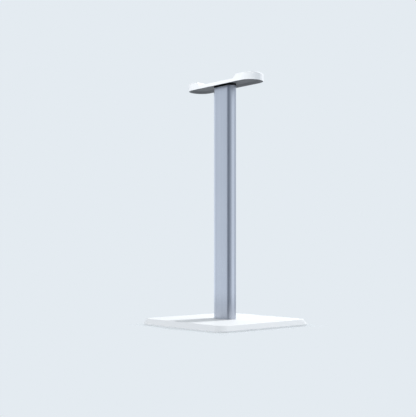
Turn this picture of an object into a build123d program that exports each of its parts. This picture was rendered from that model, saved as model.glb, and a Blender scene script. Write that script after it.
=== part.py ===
from build123d import *
import os

# Desk headphone stand: a weighted square base, an extruded aluminium column and a
# cradle with a low seat between two raised lips, where the headband hangs.
# Millimetres, +Z up. The origin is the middle of the footprint, on the desk.
# X runs across the cradle and Y along it, and the front is towards -Y. The stand is
# symmetric about the XZ and YZ planes.

# ---- driving dimensions ---------------------------------------------------------
overall_height = 250.0

# base
base_foot_side = 125.0          # square outline at the bottom of the sloped wall
base_top_side = 118.0           # square outline of the flat top
base_foot_radius = 11.0
base_top_radius = 9.5
base_thickness = 5.6
base_edge_round = 0.6
base_foot_round = 0.4
slot_mouth_chamfer = 0.2
base_skin = 1.6                 # thickness of the moulded top
cover_boss = 6.4                # posts that the bottom cover is screwed to
pilot_share = 0.6               # of the skin, how far the pilot holes run into it
foot_exposed = 1.0              # how far the rubber feet hold the base off the desk

bottom_cover_side = 120.0
bottom_cover_thickness = 1.5
bottom_cover_radius = 9.0
weight_side = 108.0
weight_radius = 5.0
weight_foot_chamfer = 0.3
weight_boss_hole = 7.0
weight_rib_gap = 2.5            # space around the weight, bridged by locating ribs
weight_rib_width = 2.0
weight_rib_spacing = 36.0

foot_diameter = 12.0
foot_height = 1.6
foot_edge_round = 0.4
foot_offset = 49.0

# column
column_width = 28.0             # across the two rounded edges, along Y
column_depth = 11.0             # across the two flat faces, along X
column_wall = 1.3
column_end_chamfer = 0.25
port_outer = 6.0
port_bore = 4.0
port_web = 1.6
spigot_length = 12.0            # how far the collar reaches down inside the column
spigot_wall = 1.5
spigot_radius = 1.0
spigot_bore_radius = 0.6

# cradle
cradle_length = 99.0
cradle_width = 26.4
cradle_height = 7.3             # from the lower rim to the top of the lips
seat_height = 3.6               # from the lower rim to the floor of the seat
seat_half_length = 25.3         # foot of the sloped step, from the middle
lip_start = 29.5                # top of the sloped step, from the middle
cradle_skin = 1.1
cradle_rim = 1.2
cradle_land = 0.3               # flat that is left of the rim, below its inner chamfer
lip_wall = 1.7
weld_post_diameter = 4.0        # posts in the lips that the tray is welded to
weld_post_x = 6.0
weld_post_y = 38.0
cradle_edge_round = 0.8
step_foot_round = 1.2
tray_plate = 0.8
tray_ring = 1.2                 # flat ring around the dished middle of the tray
dish_slope = 3.6                # how far the sides of the dish lean inwards
liner_length = 45.0
liner_width = 21.0
liner_thickness = 0.5           # it lies in a pocket of the same depth
liner_radius = 4.0
liner_edge_round = 0.2

# fasteners: thread-forming screws with countersunk cross-recess heads
joint_screw_diameter = 3.9
joint_screw_head = 6.8
joint_screw_head_height = 1.4
joint_screw_length = 16.0
cover_screw_diameter = 2.6
cover_screw_head = 5.0
cover_screw_head_height = 1.2
cover_screw_length = 4.6
cover_screw_offset = 38.0
screw_access_gap = 1.6          # how much wider than the heads the holes in the bottom cover are
tip_length_share = 0.6          # of the shank's diameter
tip_end_share = 0.22
recess_size_share = 0.55        # of the head's diameter
recess_slot_share = 0.14
recess_depth_share = 0.8        # of the head's height
recess_floor_size_share = 0.35  # of the size at its mouth
recess_floor_slot_share = 0.6

clearance = 0.1                 # gap all round between parts that drop into each other

# ---- heights that follow from them ----------------------------------------------
base_floor = foot_exposed
base_top = base_floor + base_thickness
bottom_cover_top = base_floor + bottom_cover_thickness
weight_top = base_top - base_skin
weight_thickness = weight_top - bottom_cover_top
rim_level = overall_height - cradle_height
rim_chamfer_top = rim_level + cradle_rim - cradle_land
seat_level = rim_level + seat_height
liner_foot = seat_level - liner_thickness
tray_top = seat_level - cradle_skin
tray_under = tray_top - tray_plate
column_foot = weight_top
column_top = rim_level
port_offset = (column_width - column_depth) / 2
lip_pocket_start = lip_start + lip_wall
lip_pocket_top = overall_height - lip_wall
weld_post_places = [(x, y) for x in (-weld_post_x, weld_post_x) for y in (-weld_post_y, weld_post_y)]


# ---- shared shapes --------------------------------------------------------------
def stadium(length, width, low, high):
    """An upright block with straight sides along Y and half-round ends."""
    return Pos(0, 0, low) * extrude(SlotOverall(length, width, rotation=90), high - low)


def flared_stadium(low_length, low_width, lean, low, high):
    """A stadium whose walls lean inwards all round, by lean from the low to the high level."""
    low_outline = Pos(0, 0, low) * SlotOverall(low_length, low_width, rotation=90)
    high_outline = Pos(0, 0, high) * SlotOverall(low_length - 2 * lean, low_width - 2 * lean, rotation=90)
    return loft([low_outline, high_outline], ruled=True)


def rounded_plate(side_x, side_y, radius, low, high):
    return Pos(0, 0, low) * extrude(RectangleRounded(side_x, side_y, radius), high - low)


def cylinder_between(diameter, low, high, x=0.0, y=0.0):
    return Pos(x, y, low) * extrude(Circle(diameter / 2), high - low)


def countersunk_hole(diameter, head, head_height, face, through, x, y):
    """Cutter for a screw whose flat head lies in the face; it runs on to the level through."""
    toward = 1 if through > face else -1
    cone = Cone(head / 2, diameter / 2, head_height)
    if toward < 0:
        cone = Rot(180, 0, 0) * cone
    cone = Pos(x, y, face + toward * head_height / 2) * cone
    low, high = sorted((face, through))
    return cone + cylinder_between(diameter, low, high, x, y)


def cross_recess(size, depth, slot):
    """Tapered four-armed driver recess, opening downwards at the origin."""
    floor = Rectangle(size * recess_floor_size_share, slot * recess_floor_slot_share)
    arm = loft([Rectangle(size, slot), Pos(0, 0, depth) * floor])
    return arm + Rot(0, 0, 90) * arm


def countersunk_screw(diameter, head, head_height, length):
    """A screw pointing up, its flat head face at the origin."""
    head_cone = Pos(0, 0, head_height / 2) * Cone(head / 2, diameter / 2, head_height)
    tip_length = diameter * tip_length_share
    shank = cylinder_between(diameter, head_height, length - tip_length)
    tip = Pos(0, 0, length - tip_length / 2) * Cone(diameter / 2, diameter * tip_end_share, tip_length)
    recess = cross_recess(head * recess_size_share, head_height * recess_depth_share,
                          head * recess_slot_share)
    return head_cone + shank + tip - recess


def save(name, shape):
    shape.label = name
    export_step(shape, f"parts/{name}.step")


# ---- base -----------------------------------------------------------------------
def corner_places(offset):
    return [(sx * offset, sy * offset) for sx in (-1, 1) for sy in (-1, 1)]


def base_cover():
    """White moulded cover: flat top, sloped wall, open below, with a slot for the column."""
    foot_outline = Pos(0, 0, base_floor) * RectangleRounded(
        base_foot_side, base_foot_side, base_foot_radius)
    top_outline = Pos(0, 0, base_top) * RectangleRounded(
        base_top_side, base_top_side, base_top_radius)
    body = loft([foot_outline, top_outline], ruled=True)
    body = fillet(body.edges().group_by(Axis.Z)[-1], base_edge_round)
    body = fillet(body.edges().group_by(Axis.Z)[0], base_foot_round)

    cavity_side = weight_side + 2 * weight_rib_gap
    body -= rounded_plate(bottom_cover_side, bottom_cover_side, bottom_cover_radius,
                          base_floor, bottom_cover_top)
    body -= rounded_plate(cavity_side, cavity_side, weight_radius + weight_rib_gap,
                          bottom_cover_top, weight_top)

    rib_middle = (cavity_side - weight_rib_gap + clearance) / 2
    rib = Box(weight_rib_gap - clearance, weight_rib_width, weight_thickness)
    for turn in range(4):
        for step in (-1, 0, 1):
            place = Pos(rib_middle, step * weight_rib_spacing, bottom_cover_top + weight_thickness / 2)
            body += Rot(0, 0, 90 * turn) * place * rib

    pilot_top = weight_top + base_skin * pilot_share
    for x, y in corner_places(cover_screw_offset):
        body += cylinder_between(cover_boss, bottom_cover_top, weight_top, x, y)
    for x, y in corner_places(cover_screw_offset):
        body -= cylinder_between(cover_screw_diameter, bottom_cover_top, pilot_top, x, y)

    slot_gap = 2 * clearance
    body -= stadium(column_width + slot_gap, column_depth + slot_gap, weight_top, base_top)
    slot_mouth = body.faces().filter_by(Plane.XY).sort_by(Axis.Z)[-1].inner_wires()[0]
    return chamfer(slot_mouth.edges(), slot_mouth_chamfer)


def base_weight():
    """Steel plate that carries the column and keeps the stand upright."""
    plate = rounded_plate(weight_side, weight_side, weight_radius, bottom_cover_top, weight_top)
    plate = chamfer(plate.edges().group_by(Axis.Z)[0], weight_foot_chamfer)
    for x, y in corner_places(cover_screw_offset):
        plate -= cylinder_between(weight_boss_hole, bottom_cover_top, weight_top, x, y)
    for y in (-port_offset, port_offset):
        plate -= countersunk_hole(joint_screw_diameter, joint_screw_head, joint_screw_head_height,
                                  bottom_cover_top, weight_top, 0, y)
    return plate


def base_bottom_cover():
    """Flat cover under the weight, with pockets for the feet and holes for every screw."""
    side = bottom_cover_side - 2 * clearance
    plate = rounded_plate(side, side, bottom_cover_radius - clearance, base_floor, bottom_cover_top)
    pocket_depth = foot_height - foot_exposed
    for x, y in corner_places(foot_offset):
        plate -= cylinder_between(foot_diameter + 2 * clearance, base_floor,
                                  base_floor + pocket_depth, x, y)
    for x, y in corner_places(cover_screw_offset):
        plate -= countersunk_hole(cover_screw_diameter, cover_screw_head, cover_screw_head_height,
                                  base_floor, bottom_cover_top, x, y)
    for y in (-port_offset, port_offset):
        plate -= cylinder_between(joint_screw_head + screw_access_gap, base_floor, bottom_cover_top, 0, y)
    return plate


def rubber_foot(x, y):
    foot = cylinder_between(foot_diameter, 0, foot_height, x, y)
    return fillet(foot.edges().group_by(Axis.Z)[0], foot_edge_round)


def base_cover_screws():
    screw = countersunk_screw(cover_screw_diameter, cover_screw_head, cover_screw_head_height,
                              cover_screw_length)
    places = corner_places(cover_screw_offset)
    return Compound(children=[Pos(x, y, base_floor) * screw for x, y in places])


# ---- column ---------------------------------------------------------------------
def column_section():
    """Hollow stadium with a screw port at each rounded edge, tied to both flat faces."""
    bore_width = column_width - 2 * column_wall
    bore_depth = column_depth - 2 * column_wall
    section = SlotOverall(column_width, column_depth, rotation=90)
    section -= SlotOverall(bore_width, bore_depth, rotation=90)
    for y in (-port_offset, port_offset):
        section += Pos(0, y) * Rectangle(bore_depth + column_wall, port_web)
        section += Pos(0, y) * Circle(port_outer / 2)
    for y in (-port_offset, port_offset):
        section -= Pos(0, y) * Circle(port_bore / 2)
    return section


def column():
    bar = Pos(0, 0, column_foot) * extrude(column_section(), column_top - column_foot)
    ends = bar.faces().filter_by(Plane.XY)
    return chamfer([edge for end in ends for edge in end.outer_wire().edges()], column_end_chamfer)


def column_foot_screws():
    screw = countersunk_screw(joint_screw_diameter, joint_screw_head, joint_screw_head_height,
                              joint_screw_length)
    places = (-port_offset, port_offset)
    return Compound(children=[Pos(0, y, bottom_cover_top) * screw for y in places])


def column_collar():
    """Black spacer between the column and the cradle, with a spigot inside the column."""
    collar = stadium(column_width, column_depth, column_top, tray_under)
    spigot_depth = column_depth - 2 * column_wall - 2 * clearance
    spigot_width = 2 * port_offset - port_outer - 2 * clearance
    spigot_low = column_top - spigot_length
    spigot = rounded_plate(spigot_depth, spigot_width, spigot_radius, spigot_low, column_top)
    spigot -= rounded_plate(spigot_depth - 2 * spigot_wall, spigot_width - 2 * spigot_wall,
                            spigot_bore_radius, spigot_low, column_top)
    collar += spigot
    for y in (-port_offset, port_offset):
        collar -= cylinder_between(joint_screw_diameter + 2 * clearance, column_top, tray_under, 0, y)
    return collar


# ---- cradle ---------------------------------------------------------------------
def seat_cutter():
    """Fills the headband seat: a trough across the cradle with sloped, rounded steps."""
    above = overall_height + cradle_height
    slope = (lip_start - seat_half_length) / (overall_height - seat_level)
    reach = lip_start + slope * (above - overall_height)
    outline = Polyline(
        (-seat_half_length, seat_level),
        (seat_half_length, seat_level),
        (reach, above),
        (-reach, above),
        close=True)
    trough = extrude(Plane.YZ * make_face(outline), cradle_width, both=True)
    foot_edges = trough.edges().filter_by(Axis.X).group_by(Axis.Z)[0]
    return fillet(foot_edges, step_foot_round)


def is_across_step_foot(edge):
    """True of the two seams across the cradle where the rounded foot of a step begins or ends."""
    box = edge.bounding_box()
    return box.size.X > cradle_width / 2 and box.max.Z < (seat_level + overall_height) / 2


def cradle_shell():
    """White moulded top: a long shallow shell, low in the middle and raised at both ends."""
    body = stadium(cradle_length, cradle_width, rim_level, overall_height)
    body -= seat_cutter()
    upper_edges = [edge for edge in body.edges() if edge.bounding_box().min.Z > seat_level - 0.01]
    body = fillet([edge for edge in upper_edges if not is_across_step_foot(edge)], cradle_edge_round)

    body -= flared_stadium(cradle_length - 2 * cradle_land, cradle_width - 2 * cradle_land,
                           cradle_rim - cradle_land, rim_level, rim_chamfer_top)
    body -= stadium(cradle_length - 2 * cradle_rim, cradle_width - 2 * cradle_rim,
                    rim_chamfer_top, tray_top)
    pocket = stadium(cradle_length - 2 * lip_wall, cradle_width - 2 * lip_wall,
                     tray_top, lip_pocket_top)
    pocket -= Pos(0, 0, tray_top) * Box(cradle_width, 2 * lip_pocket_start, 4 * cradle_height)
    body -= pocket
    for x, y in weld_post_places:
        body += cylinder_between(weld_post_diameter, tray_top, lip_pocket_top, x, y)

    body -= rounded_plate(liner_width + 2 * clearance, liner_length + 2 * clearance,
                          liner_radius + clearance, liner_foot, seat_level)
    for y in (-port_offset, port_offset):
        body -= countersunk_hole(joint_screw_diameter, joint_screw_head, joint_screw_head_height,
                                 liner_foot, tray_under, 0, y)
    return body


def cradle_tray():
    """Grey dished tray that closes the shell from below, welded to its posts.

    Its foot flares out under the chamfered rim of the shell, so that little white shows below.
    """
    foot_inset = cradle_land + clearance
    foot_length = cradle_length - 2 * foot_inset
    foot_width = cradle_width - 2 * foot_inset
    flare = cradle_rim - cradle_land
    tray = flared_stadium(foot_length, foot_width, flare, rim_level, rim_chamfer_top)
    tray += stadium(foot_length - 2 * flare, foot_width - 2 * flare, rim_chamfer_top, tray_top)
    tray -= flared_stadium(foot_length - 2 * tray_ring, foot_width - 2 * tray_ring,
                           dish_slope, rim_level, tray_under)
    for y in (-port_offset, port_offset):
        tray -= countersunk_hole(joint_screw_diameter, joint_screw_head, joint_screw_head_height,
                                 liner_foot, tray_under, 0, y)
    return tray


def seat_liner():
    """Thin soft liner stuck in a pocket of the seat, over the two cradle screws."""
    liner = rounded_plate(liner_width, liner_length, liner_radius, liner_foot, seat_level)
    return fillet(liner.edges().group_by(Axis.Z)[-1], liner_edge_round)


def cradle_screws():
    screw = countersunk_screw(joint_screw_diameter, joint_screw_head, joint_screw_head_height,
                              joint_screw_length)
    places = (-port_offset, port_offset)
    return Compound(children=[Pos(0, y, liner_foot) * Rot(180, 0, 0) * screw for y in places])


# ---- write every part -----------------------------------------------------------
os.makedirs("parts", exist_ok=True)

save("base_cover", base_cover())
save("base_weight", base_weight())
save("base_bottom_cover", base_bottom_cover())
save("base_cover_screws", base_cover_screws())
foot_names = ["front_left", "back_left", "front_right", "back_right"]
for foot_name, (foot_x, foot_y) in zip(foot_names, corner_places(foot_offset)):
    save(f"rubber_foot_{foot_name}", rubber_foot(foot_x, foot_y))
save("column", column())
save("column_foot_screws", column_foot_screws())
save("column_collar", column_collar())
save("cradle_shell", cradle_shell())
save("cradle_tray", cradle_tray())
save("seat_liner", seat_liner())
save("cradle_screws", cradle_screws())
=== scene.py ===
import math

import bmesh
import bpy
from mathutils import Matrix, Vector


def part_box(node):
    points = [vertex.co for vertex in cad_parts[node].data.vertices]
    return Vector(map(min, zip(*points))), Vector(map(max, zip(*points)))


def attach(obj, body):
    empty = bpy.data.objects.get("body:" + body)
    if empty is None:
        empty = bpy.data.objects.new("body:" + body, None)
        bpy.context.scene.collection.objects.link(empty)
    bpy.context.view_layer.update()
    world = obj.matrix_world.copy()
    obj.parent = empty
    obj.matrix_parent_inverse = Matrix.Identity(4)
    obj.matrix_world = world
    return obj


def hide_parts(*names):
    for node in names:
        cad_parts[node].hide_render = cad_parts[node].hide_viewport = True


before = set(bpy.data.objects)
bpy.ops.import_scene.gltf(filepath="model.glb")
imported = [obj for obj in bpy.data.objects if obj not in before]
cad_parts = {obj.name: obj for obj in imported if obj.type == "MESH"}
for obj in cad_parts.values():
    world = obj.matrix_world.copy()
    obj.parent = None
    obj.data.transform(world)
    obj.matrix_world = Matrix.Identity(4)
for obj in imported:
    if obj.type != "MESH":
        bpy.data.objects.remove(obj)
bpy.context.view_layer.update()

# A desk headphone stand: white weighted base, satin aluminium column, white cradle.
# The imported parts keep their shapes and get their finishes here. The seat liner is
# built again in mesh with its grip grooves. Metres, +Z up, the part's own frame.

MM = 0.001

# ---- colours, linear ----------------------------------------------------------------
backdrop_color = (0.776, 0.831, 0.879, 1.0)
floor_color = (0.67, 0.715, 0.755, 1.0)
black = (0.0, 0.0, 0.0, 1.0)
white_cool = (0.90, 0.915, 0.93, 1.0)
white_clear = (0.925, 0.935, 0.945, 1.0)
white_speck = (0.80, 0.81, 0.82, 1.0)
silver_dark = (0.73, 0.77, 0.86, 1.0)
silver_light = (0.79, 0.83, 0.92, 1.0)
silver_scuffed = (0.60, 0.63, 0.67, 1.0)
zinc_blue = (0.56, 0.58, 0.62, 1.0)
zinc_yellow = (0.68, 0.67, 0.62, 1.0)
liner_dark = (0.54, 0.55, 0.57, 1.0)
liner_light = (0.62, 0.63, 0.65, 1.0)
tray_tint = (0.0, 0.002, 0.007)
card_tint = (-0.015, 0.0, 0.03)
studio_tint = (0.95, 1.0, 1.03, 1.0)


def grey(level, tint=(0.0, 0.0, 0.0)):
    return tuple(level + t for t in tint) + (1.0,)


# ---- node helpers -------------------------------------------------------------------
class Nodes:
    """Short names for building one material's or the world's node tree."""

    def __init__(self, tree):
        self.tree = tree
        tree.nodes.clear()

    def add(self, kind, **settings):
        node = self.tree.nodes.new(kind)
        for name, value in settings.items():
            setattr(node, name, value)
        return node

    def put(self, socket, value):
        """Links a socket into another, or sets it to a plain value."""
        if isinstance(value, bpy.types.NodeSocket):
            self.tree.links.new(value, socket)
        else:
            socket.default_value = value

    def position(self, scale=(1, 1, 1)):
        """The point on the part in metres, each axis scaled."""
        mapping = self.add("ShaderNodeMapping")
        self.put(mapping.inputs["Vector"], self.add("ShaderNodeTexCoord").outputs["Object"])
        self.put(mapping.inputs["Scale"], scale)
        return mapping.outputs["Vector"]

    def split(self, vector):
        """The X, Y and Z of a vector."""
        node = self.add("ShaderNodeSeparateXYZ")
        self.put(node.inputs[0], vector)
        return node.outputs["X"], node.outputs["Y"], node.outputs["Z"]

    def noise(self, vector, scale, detail=2.0, roughness=0.5):
        node = self.add("ShaderNodeTexNoise")
        self.put(node.inputs["Vector"], vector)
        self.put(node.inputs["Scale"], scale)
        self.put(node.inputs["Detail"], detail)
        self.put(node.inputs["Roughness"], roughness)
        return node.outputs["Fac"]

    def cells(self, vector, scale):
        node = self.add("ShaderNodeTexVoronoi")
        self.put(node.inputs["Vector"], vector)
        self.put(node.inputs["Scale"], scale)
        return node.outputs["Distance"]

    def spread(self, value, low, high, to_low, to_high, smooth=False):
        """Maps the range from low to high onto another, and holds it at the ends."""
        node = self.add("ShaderNodeMapRange")
        if smooth:
            node.interpolation_type = "SMOOTHSTEP"
        self.put(node.inputs["Value"], value)
        self.put(node.inputs["From Min"], low)
        self.put(node.inputs["From Max"], high)
        self.put(node.inputs["To Min"], to_low)
        self.put(node.inputs["To Max"], to_high)
        return node.outputs["Result"]

    def math(self, operation, *values):
        node = self.add("ShaderNodeMath", operation=operation)
        for socket, value in zip(node.inputs, values):
            self.put(socket, value)
        return node.outputs["Value"]

    def blend(self, factor, first, second, blend_type="MIX"):
        node = self.add("ShaderNodeMix", data_type="RGBA", blend_type=blend_type)
        color_a, color_b = node.inputs[6], node.inputs[7]
        self.put(node.inputs["Factor"], factor)
        self.put(color_a, first)
        self.put(color_b, second)
        return node.outputs[2]

    def multiply(self, first, second):
        return self.blend(1.0, first, second, "MULTIPLY")

    def mix_shaders(self, factor, first, second):
        node = self.add("ShaderNodeMixShader")
        self.put(node.inputs["Fac"], factor)
        self.put(node.inputs[1], first)
        self.put(node.inputs[2], second)
        return node.outputs["Shader"]

    def bump(self, height, distance, strength, under=None):
        node = self.add("ShaderNodeBump")
        self.put(node.inputs["Height"], height)
        self.put(node.inputs["Distance"], distance)
        self.put(node.inputs["Strength"], strength)
        if under is not None:
            self.put(node.inputs["Normal"], under)
        return node.outputs["Normal"]


def new_material(name):
    """A material with one shader, wired to the output that is returned last."""
    material = bpy.data.materials.new(name)
    material.use_nodes = True
    nodes = Nodes(material.node_tree)
    shader = nodes.add("ShaderNodeBsdfPrincipled")
    surface = nodes.add("ShaderNodeOutputMaterial").inputs["Surface"]
    nodes.put(surface, shader.outputs["BSDF"])
    return material, nodes, shader, surface


# ---- materials ----------------------------------------------------------------------
# Noise scales are per metre, so 2600 makes features about 0.4 mm across.
def white_plastic():
    """Satin white ABS: faint flow marks, a few greyer specks and a fine spark texture."""
    material, nodes, shader, _ = new_material("white_plastic")
    place = nodes.position()
    flow = nodes.noise(place, 28.0, 3.0)
    tone = nodes.blend(nodes.spread(flow, 0.3, 0.7, 0.0, 1.0), white_cool, white_clear)
    specks = nodes.spread(nodes.noise(place, 2600.0, 2.0), 0.68, 0.76, 0.0, 0.35)
    nodes.put(shader.inputs["Base Color"], nodes.blend(specks, tone, white_speck))
    grain = nodes.noise(place, 5200.0, 3.0, 0.6)
    handling = nodes.noise(place, 70.0, 4.0, 0.65)
    rough = nodes.math("ADD", nodes.spread(handling, 0.3, 0.7, 0.40, 0.50),
                       nodes.spread(grain, 0.3, 0.7, 0.0, 0.05))
    nodes.put(shader.inputs["Roughness"], rough)
    wave = nodes.bump(nodes.noise(place, 160.0, 1.0), 0.04 * MM, 0.25)
    nodes.put(shader.inputs["Normal"], nodes.bump(grain, 0.03 * MM, 0.35, wave))
    shader.inputs["IOR"].default_value = 1.5
    return material


def anodised_aluminium():
    """Satin silver anodising: lengthwise extrusion lines, a matte grain, and painted shade that
    darkens the base colour towards the foot.
    """
    material, nodes, shader, _ = new_material("anodised_aluminium")
    lengthwise = nodes.position((1.0, 1.0, 0.004))
    place = nodes.position()
    lines = nodes.noise(lengthwise, 2600.0, 4.0, 0.7)
    bands = nodes.noise(lengthwise, 320.0, 3.0, 0.5)
    grain = nodes.noise(place, 7000.0, 2.0, 0.6)
    cloud = nodes.noise(place, 24.0, 3.0)
    tone = nodes.blend(nodes.spread(bands, 0.35, 0.65, 0.0, 1.0), silver_dark, silver_light)
    scuffs = nodes.spread(nodes.noise(place, 900.0, 3.0, 0.7), 0.70, 0.80, 0.0, 0.3)
    worn = nodes.blend(scuffs, tone, silver_scuffed)

    # Painted shade: towards the foot the base colour is mixed with black. It stands in for the
    # shadowed base top that the metal mirrors there.
    painted_shade_depth = 0.24
    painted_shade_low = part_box("base_cover")[1].z + 4 * MM
    painted_shade_high = painted_shade_low + 28 * MM
    height = nodes.split(place)[2]
    foot_shade_mask = nodes.spread(height, painted_shade_low, painted_shade_high, painted_shade_depth, 0.0, smooth=True)
    nodes.put(shader.inputs["Base Color"], nodes.blend(foot_shade_mask, worn, black))

    rough = nodes.math("ADD", nodes.spread(lines, 0.3, 0.7, 0.24, 0.34),
                       nodes.spread(cloud, 0.35, 0.65, 0.0, 0.05))
    nodes.put(shader.inputs["Roughness"], rough)
    drawn = nodes.bump(lines, 0.02 * MM, 0.30)
    nodes.put(shader.inputs["Normal"], nodes.bump(grain, 0.01 * MM, 0.25, drawn))
    shader.inputs["Metallic"].default_value = 1.0
    return material


def moulded_plastic(name, dark, light, rough_low, rough_high, grain_scale, grain_depth,
                    specular=0.5):
    """Matte moulded plastic with a spark-eroded grain."""
    material, nodes, shader, _ = new_material(name)
    place = nodes.position()
    patches = nodes.noise(place, 45.0, 4.0, 0.6)
    tone = nodes.blend(nodes.spread(patches, 0.3, 0.7, 0.0, 1.0), dark, light)
    nodes.put(shader.inputs["Base Color"], tone)
    nodes.put(shader.inputs["Roughness"],
              nodes.spread(patches, 0.3, 0.7, rough_low, rough_high))
    pitted = nodes.bump(nodes.cells(place, grain_scale), grain_depth, 0.5)
    fine = nodes.noise(place, grain_scale * 2.2, 3.0, 0.6)
    nodes.put(shader.inputs["Normal"], nodes.bump(fine, grain_depth * 0.5, 0.4, pitted))
    shader.inputs["Specular IOR Level"].default_value = specular
    return material


def zinc_plate(name, rough_low, rough_high):
    """Zinc-plated steel: slight yellow and blue clouds, with fine rolling lines."""
    material, nodes, shader, _ = new_material(name)
    cloud = nodes.noise(nodes.position(), 130.0, 4.0, 0.6)
    tone = nodes.blend(nodes.spread(cloud, 0.35, 0.65, 0.0, 1.0), zinc_blue, zinc_yellow)
    nodes.put(shader.inputs["Base Color"], tone)
    lines = nodes.noise(nodes.position((1.0, 0.02, 1.0)), 3200.0, 3.0, 0.6)
    nodes.put(shader.inputs["Roughness"], nodes.spread(lines, 0.3, 0.7, rough_low, rough_high))
    nodes.put(shader.inputs["Normal"], nodes.bump(lines, 0.01 * MM, 0.3))
    shader.inputs["Metallic"].default_value = 1.0
    return material


def rubber(name, dark, light, grain_scale):
    """Soft rubber with a dry bloom and a fine moulded grain."""
    material, nodes, shader, _ = new_material(name)
    place = nodes.position()
    bloom = nodes.noise(place, 260.0, 4.0, 0.7)
    tone = nodes.blend(nodes.spread(bloom, 0.35, 0.7, 0.0, 1.0), dark, light)
    nodes.put(shader.inputs["Base Color"], tone)
    nodes.put(shader.inputs["Roughness"], nodes.spread(bloom, 0.3, 0.7, 0.62, 0.8))
    grain = nodes.noise(place, grain_scale, 2.0, 0.6)
    nodes.put(shader.inputs["Normal"], nodes.bump(grain, 0.03 * MM, 0.5))
    return material


def dress(material, slot, *node_names):
    """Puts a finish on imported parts, without touching their meshes."""
    for node_name in node_names:
        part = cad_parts[node_name]
        part.data.materials.clear()
        part.data.materials.append(material)


def add_mesh_object(name, mesh):
    """Turns a finished bmesh into an object in the scene."""
    data = bpy.data.meshes.new(name)
    mesh.to_mesh(data)
    mesh.free()
    thing = bpy.data.objects.new(name, data)
    bpy.context.scene.collection.objects.link(thing)
    return thing


# ---- seat liner ---------------------------------------------------------------------
def half_width_at(y, half_length, half_width, corner):
    """Half the liner's width at a distance along it, with rounded corners."""
    past = abs(y) - (half_length - corner)
    if past <= 0:
        return half_width
    return half_width - corner + math.sqrt(max(corner ** 2 - past ** 2, 0.0))


def build_liner(material):
    """The liner as one closed mesh: shallow grip grooves across it, plain at the margin."""
    low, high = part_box("seat_liner")
    half_width = (high.x - low.x) / 2
    half_length = (high.y - low.y) / 2
    corner = 4 * MM
    groove_pitch = 2.5 * MM
    groove_depth = 0.2 * MM
    groove_narrowing = 3                  # power that makes the grooves narrow, the ribs broad
    fade_start = 1.1 * MM                 # in from the outline, where the grooves fade in
    fade_width = 1.1 * MM
    edge_round = 0.2 * MM
    rows, columns = 361, 45
    mesh = bmesh.new()

    def edge_drop(inset):
        """How far the quarter-round edge lies under the flat top, by distance in."""
        rise = max(edge_round - inset, 0.0)
        return edge_round - math.sqrt(max(edge_round ** 2 - rise ** 2, 0.0))

    def groove_drop(y, inset):
        wave = 0.5 - 0.5 * math.cos(2 * math.pi * y / groove_pitch)
        part_in = min(max((inset - fade_start) / fade_width, 0.0), 1.0)
        fade_in = part_in * part_in * (3 - 2 * part_in)
        return groove_depth * wave ** groove_narrowing * fade_in

    top, bottom = [], []
    for row in range(rows):
        even = 2 * row / (rows - 1) - 1
        crowded_at_ends = -math.cos(math.pi * row / (rows - 1))
        y = half_length * (even + crowded_at_ends) / 2
        reach = half_width_at(y, half_length, half_width, corner)
        top_row, bottom_row = [], []
        for column in range(columns):
            x = -reach * math.cos(math.pi * column / (columns - 1))
            inset = min(reach - abs(x), half_length - abs(y))
            z = high.z - edge_drop(inset) - groove_drop(y, inset)
            top_row.append(mesh.verts.new((x, y, z)))
            bottom_row.append(mesh.verts.new((x, y, low.z)))
        top.append(top_row)
        bottom.append(bottom_row)

    for grid in (top, bottom):
        for here, after in zip(grid, grid[1:]):
            for column in range(columns - 1):
                mesh.faces.new((here[column], here[column + 1],
                                after[column + 1], after[column]))

    def outline(grid):
        """The vertices round the edge of a grid, in order."""
        right = [row[-1] for row in grid[1:]]
        left = [row[0] for row in grid[-2:0:-1]]
        return grid[0] + right + grid[-1][-2::-1] + left

    rim_top, rim_low = outline(top), outline(bottom)
    for here in range(len(rim_top)):
        after = (here + 1) % len(rim_top)
        mesh.faces.new((rim_low[here], rim_low[after], rim_top[after], rim_top[here]))
    bmesh.ops.recalc_face_normals(mesh, faces=mesh.faces)

    liner = add_mesh_object("grooved_seat_liner", mesh)
    liner.data.shade_smooth()
    liner.data.materials.append(material)
    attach(liner, "root")
    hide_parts("seat_liner")


# ---- stage --------------------------------------------------------------------------
def build_floor():
    """A pale matte floor that takes the shadow round the foot and melts into the backdrop."""
    base_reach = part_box("base_cover")[1].x
    inner_edge = base_reach - 8 * MM
    rise_width = 5 * MM
    shade_width = 14 * MM
    density = 0.32
    mesh = bmesh.new()
    bmesh.ops.create_circle(mesh, cap_ends=True, cap_tris=False, segments=128,
                            radius=3 * base_reach)
    floor = add_mesh_object("floor", mesh)
    material, nodes, shader, surface = new_material("studio_floor")
    shader.inputs["Base Color"].default_value = floor_color
    shader.inputs["Roughness"].default_value = 0.9
    shader.inputs["Specular IOR Level"].default_value = 0.1
    x, y, _ = nodes.split(nodes.position())
    reach = nodes.math("MAXIMUM", nodes.math("ABSOLUTE", x), nodes.math("ABSOLUTE", y))
    inside = nodes.spread(reach, inner_edge, inner_edge + rise_width, 0.0, density, smooth=True)
    outside = nodes.spread(reach, base_reach, base_reach + shade_width, 1.0, 0.0, smooth=True)
    clear = nodes.add("ShaderNodeBsdfTransparent").outputs["BSDF"]
    shown = nodes.math("MULTIPLY", inside, outside)
    nodes.put(surface, nodes.mix_shaders(shown, clear, shader.outputs["BSDF"]))
    floor.data.materials.append(material)


# Brightness of the ring of cards at compass bearings in degrees, from +X towards +Y.
studio_cards = (
    (-180, 0.19),        # dark flag on the left
    (-160, 0.22),
    (-130, 0.38),
    (-100, 0.73),        # soft card at the front right
    (-70, 0.82),
    (-35, 0.48),
    (0, 0.40),
    (45, 1.00),          # bright sweep behind
    (100, 0.78),
    (130, 0.80),         # card that the flat face on the left mirrors
    (150, 0.34),
    (168, 0.13),
    (180, 0.19),
)


def sine(degrees):
    return math.sin(math.radians(degrees))


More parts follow.
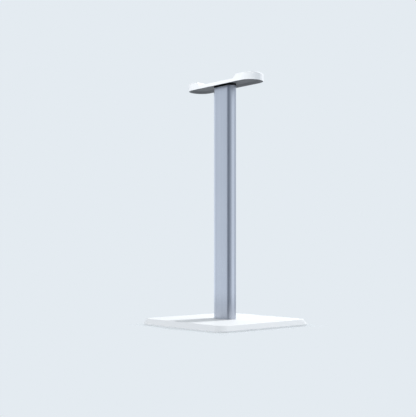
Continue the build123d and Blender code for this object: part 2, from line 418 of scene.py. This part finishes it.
def build_world():
    """The studio round the stand: cards and flags in a ring, a soft ceiling, a pale backdrop."""
    world = bpy.data.worlds.new("studio")
    bpy.context.scene.world = world
    world.use_nodes = True
    nodes = Nodes(world.node_tree)
    x, y, height = nodes.split(nodes.add("ShaderNodeTexCoord").outputs["Generated"])
    bearing = nodes.math("ARCTAN2", y, x)

    ring = nodes.add("ShaderNodeValToRGB")
    ring.color_ramp.interpolation = "B_SPLINE"
    stops = ring.color_ramp.elements
    while len(stops) < len(studio_cards):
        stops.new(0.5)
    for stop, (degrees, brightness) in zip(stops, studio_cards):
        stop.position = (degrees + 180) / 360
        stop.color = grey(brightness, card_tint)
    nodes.put(ring.inputs["Fac"], nodes.spread(bearing, -math.pi, math.pi, 0.0, 1.0))

    ceiling_strength = 0.48
    taper = nodes.spread(height, sine(-4), sine(12), 1.06, 0.93)
    cards = nodes.multiply(ring.outputs["Color"], taper)
    rise = nodes.spread(height, sine(22), sine(48), 0.0, 1.0, smooth=True)
    studio = nodes.multiply(nodes.blend(rise, cards, grey(ceiling_strength)), studio_tint)

    lit = nodes.add("ShaderNodeBackground")
    nodes.put(lit.inputs["Color"], studio)
    plain = nodes.add("ShaderNodeBackground")
    nodes.put(plain.inputs["Color"], backdrop_color)
    seen = nodes.add("ShaderNodeLightPath").outputs["Is Camera Ray"]
    surface = nodes.add("ShaderNodeOutputWorld").inputs["Surface"]
    nodes.put(surface, nodes.mix_shaders(seen, lit.outputs["Background"],
                                         plain.outputs["Background"]))


def add_light(kind, name, place, target, watts):
    """A light at a place, turned towards a target."""
    light = bpy.data.objects.new(name, bpy.data.lights.new(name, kind))
    bpy.context.scene.collection.objects.link(light)
    light.data.energy = watts
    light.location = place
    toward = Vector(target) - light.location
    light.rotation_euler = toward.to_track_quat("-Z", "Y").to_euler()
    return light


def soft_disk(name, place, target, size, watts):
    light = add_light("AREA", name, place, target, watts)
    light.data.shape = "DISK"
    light.data.size = size
    return light


def soft_spot(name, place, target, cone, watts):
    """A soft spot for the matte parts alone, which leaves no streak on the metal."""
    light = add_light("SPOT", name, place, target, watts)
    light.data.spot_size = math.radians(cone)
    light.data.spot_blend = 0.6
    light.data.shadow_soft_size = 0.06
    light.visible_glossy = False


def at_bearing(distance, bearing, rise):
    """A point at a distance from the origin, its bearing and rise in degrees."""
    bearing, rise = math.radians(bearing), math.radians(rise)
    return Vector((math.cos(rise) * math.cos(bearing),
                   math.cos(rise) * math.sin(bearing),
                   math.sin(rise))) * distance


def build_lights():
    """A key from the right, a fill on the left and two small spots on the cradle."""
    origin = Vector((0, 0, 0))
    cradle_low, cradle_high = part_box("cradle_shell")
    cradle_middle = (cradle_low + cradle_high) / 2
    cradle_cone = 14
    soft_disk("key", at_bearing(1.3, -3, 52), origin, 0.34, 12.2)
    fill = soft_disk("left_fill", Vector((-1.0, 0.05, 0.27)), origin, 0.5, 4.2)
    fill.visible_glossy = False
    soft_spot("cradle_spot", Vector((-0.66, -0.27, 0.42)), cradle_middle, cradle_cone, 7.3)
    soft_spot("cradle_rim_spot", Vector((0.66, -0.34, 0.32)), cradle_middle, cradle_cone, 7.0)


def build_camera():
    """Level camera a little above the base, turned so that the cradle runs away to the left."""
    turn = math.radians(41.58)            # from +Y towards +X, the way the camera looks
    distance = 0.8585
    sideways = 0.01726
    height = 0.0779
    ahead = Vector((math.sin(turn), math.cos(turn), 0.0))
    rightward = Vector((math.cos(turn), -math.sin(turn), 0.0))
    camera = bpy.data.objects.new("camera", bpy.data.cameras.new("camera"))
    camera.data.sensor_width = 36.0
    camera.data.lens = 72.74
    camera.data.shift_y = 0.0962
    bpy.context.scene.collection.objects.link(camera)
    camera.location = -distance * ahead - sideways * rightward + Vector((0, 0, height))
    camera.rotation_euler = (math.radians(90), 0, -turn)
    bpy.context.scene.camera = camera


# ---- put it together ----------------------------------------------------------------
dress(white_plastic(), "white_plastic", "base_cover", "cradle_shell")
dress(anodised_aluminium(), "anodised_aluminium", "column")
dress(moulded_plastic("black_plastic", grey(0.005), grey(0.009), 0.5, 0.62,
                      2600.0, 0.03 * MM, specular=0.12),
      "black_plastic", "column_collar")
dress(moulded_plastic("grey_plastic", grey(0.116, tray_tint), grey(0.136, tray_tint), 0.5, 0.62,
                      2200.0, 0.03 * MM),
      "grey_plastic", "cradle_tray")
dress(moulded_plastic("dark_plastic", grey(0.035), grey(0.05), 0.5, 0.65, 1500.0, 0.06 * MM),
      "dark_plastic", "base_bottom_cover")
dress(zinc_plate("zinc_steel", 0.34, 0.48), "zinc_steel", "base_weight")
dress(zinc_plate("screw_steel", 0.24, 0.36), "screw_steel",
      "base_cover_screws", "column_foot_screws", "cradle_screws")
dress(rubber("foot_rubber", grey(0.010), grey(0.022), 3000.0), "foot_rubber",
      *[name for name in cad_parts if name.startswith("rubber_foot")])
build_liner(rubber("liner_rubber", liner_dark, liner_light, 3600.0))

build_floor()
build_world()
build_lights()
build_camera()
bpy.context.scene.view_settings.view_transform = "Standard"
